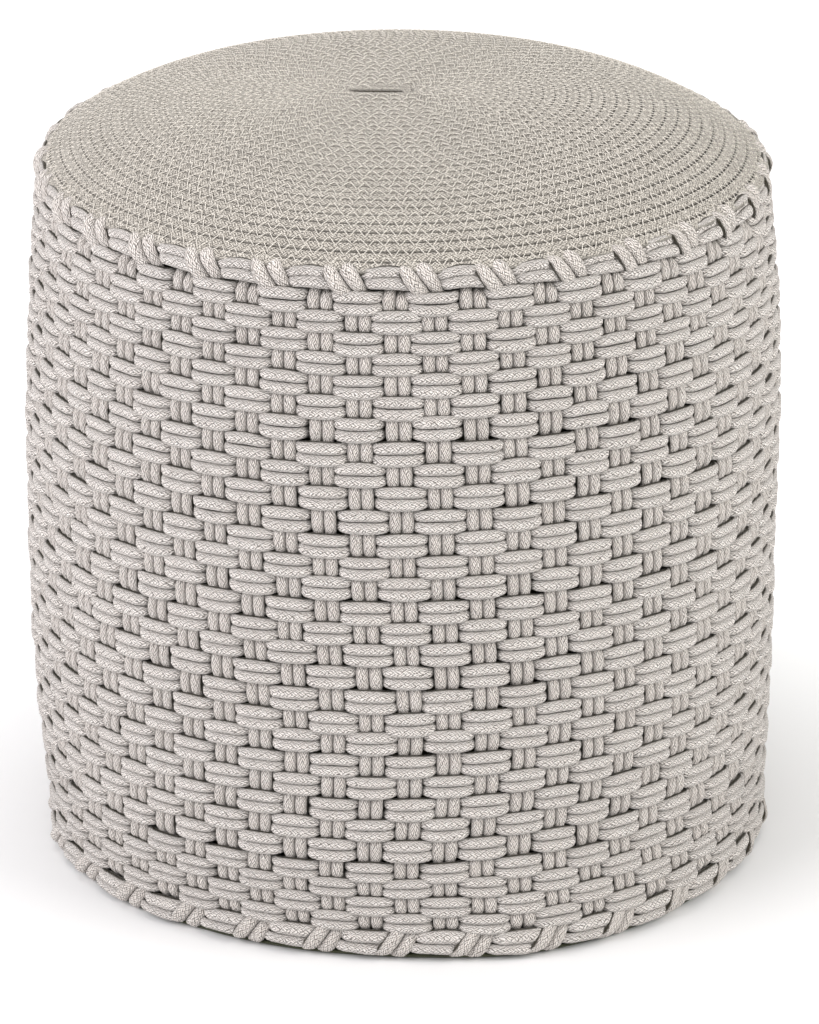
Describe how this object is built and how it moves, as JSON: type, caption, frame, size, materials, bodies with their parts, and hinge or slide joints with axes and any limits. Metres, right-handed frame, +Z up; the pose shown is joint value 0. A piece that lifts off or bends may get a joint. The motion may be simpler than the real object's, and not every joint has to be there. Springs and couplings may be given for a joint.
{
  "type": "ottoman footstool",
  "caption": "Round woven-rope ottoman footstool: barrel side in basket weave, flat coiled top with a rounded crown, and a cloth base that a zip closes.",
  "frame": {"origin": "centre of the footprint, on the floor", "axes": "+Z up; -Y is the side that the picture faces, +X its right, along the zip"},
  "size_m": [0.459, 0.459, 0.459],
  "materials": {
    "rope": "matt braided cord, warm greige",
    "coiled_rope": "matt braided cord with pale stitching",
    "lining_cloth": "dark plain cloth",
    "base_cloth": "dark plain cloth",
    "bag_cloth": "thin pale cloth",
    "filling": "pale soft filling",
    "zip_tape": "woven tape",
    "zip_teeth": "nylon coil",
    "zip_metal": "dull nickel"
  },
  "bodies": {
    "ottoman": {"weft_row_01": "rope", "weft_row_02": "rope", "weft_row_03": "rope", "weft_row_04": "rope", "weft_row_05": "rope", "weft_row_06": "rope", "weft_row_07": "rope", "weft_row_08": "rope", "weft_row_09": "rope", "weft_row_10": "rope", "weft_row_11": "rope", "weft_row_12": "rope", "weft_row_13": "rope", "weft_row_14": "rope", "weft_row_15": "rope", "weft_row_16": "rope", "weft_row_17": "rope", "weft_row_18": "rope", "weft_row_19": "rope", "weft_row_20": "rope", "weft_row_21": "rope", "weft_row_22": "rope", "weft_row_23": "rope", "weft_row_24": "rope", "weft_row_25": "rope", "weft_row_26": "rope", "weft_row_27": "rope", "weft_row_28": "rope", "weft_row_29": "rope", "weft_row_30": "rope", "weft_row_31": "rope", "weft_row_32": "rope", "warp_lacing": "rope", "coiled_top": "coiled_rope", "top_lining": "lining_cloth", "side_lining": "lining_cloth", "base_panel": "base_cloth", "bag_top": "bag_cloth", "bag_wall": "bag_cloth", "bag_base": "bag_cloth", "filling": "filling", "zip_tape_front": "zip_tape", "zip_tape_back": "zip_tape", "zip_row_front": "zip_teeth", "zip_row_back": "zip_teeth", "zip_top_stop_front": "zip_metal", "zip_top_stop_back": "zip_metal", "zip_bottom_stop": "zip_metal"},
    "slider": {"zip_slider": "zip_metal"},
    "pull": {"zip_pull": "zip_metal"}
  },
  "joints": [
    {"name": "slider_travel", "type": "slide", "parent": "ottoman", "child": "slider", "axis": [-1, 0, 0], "range_m": [0, 0.3264]},
    {"name": "pull_swing", "type": "hinge", "parent": "slider", "child": "pull", "pos_m": [0.16323, 0, 0.0023], "axis": [0, -1, 0], "range_deg": [0, 180]}
  ]
}
